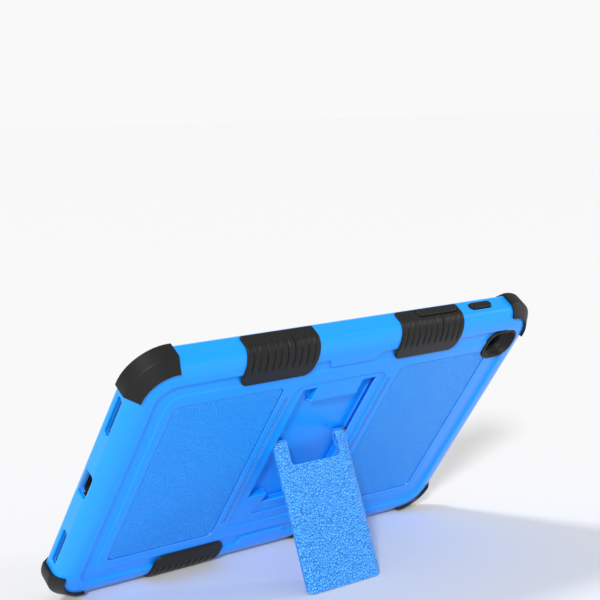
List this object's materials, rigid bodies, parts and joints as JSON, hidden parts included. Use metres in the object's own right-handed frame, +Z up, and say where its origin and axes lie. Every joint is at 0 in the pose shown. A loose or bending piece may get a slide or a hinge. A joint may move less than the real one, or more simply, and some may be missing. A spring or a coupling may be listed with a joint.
{
  "type": "tablet case",
  "caption": "Rugged two-part tablet case with a rubber liner, rubber corners and ribbed side grips, standing on a sliding fold-out kickstand.",
  "frame": {"origin": "middle of the case's footprint on the ground, as it leans on its open kickstand", "axes": "+X along the long edge towards the camera end, -Y towards the side that the kickstand stands on, +Z up"},
  "size_m": [0.217, 0.0924, 0.1168],
  "materials": {
    "blue_shell": "satin moulded, grained on the two panels",
    "blue_frame": "satin moulded",
    "blue_leg": "coarse leather grain",
    "liner_rubber": "matt",
    "bumper_rubber": "fine matt",
    "grip_rubber": "fine matt, ribbed",
    "collar_rubber": "fine matt",
    "button_rubber": "fine matt",
    "pin_steel": "turned"
  },
  "bodies": {
    "case": {"back_shell": "blue_shell", "front_frame": "blue_frame", "inner_liner": "liner_rubber", "camera_collar": "collar_rubber", "bumper_camera_top": "bumper_rubber", "bumper_camera_bottom": "bumper_rubber", "bumper_port_top": "bumper_rubber", "bumper_port_bottom": "bumper_rubber", "grip_camera_top": "grip_rubber", "grip_camera_bottom": "grip_rubber", "grip_port_top": "grip_rubber", "grip_port_bottom": "grip_rubber"},
    "power_button": {"power_button": "button_rubber"},
    "volume_button": {"volume_button": "button_rubber"},
    "pins": {"hinge_pin_camera_side": "pin_steel", "hinge_pin_port_side": "pin_steel"},
    "leg": {"kickstand_leg": "blue_leg"}
  },
  "joints": [
    {"name": "power_press", "type": "slide", "parent": "case", "child": "power_button", "axis": [0, 0.606, -0.7955], "range_m": [0, 0.0006], "stiffness_N_per_m": 800},
    {"name": "volume_press", "type": "slide", "parent": "case", "child": "volume_button", "axis": [0, 0.606, -0.7955], "range_m": [0, 0.0006], "stiffness_N_per_m": 800},
    {"name": "pin_slide", "type": "slide", "parent": "case", "child": "pins", "axis": [0, -0.606, 0.7955], "range_m": [0, 0.03252]},
    {"name": "leg_swing", "type": "hinge", "parent": "pins", "child": "leg", "pos_m": [0, -0.00853, 0.06077], "axis": [1, 0, 0], "range_deg": [0, 56.8]}
  ],
  "couplings": [
    {"joint": "pin_slide", "follows": "leg_swing", "m_per_rad": 0.032786}
  ]
}
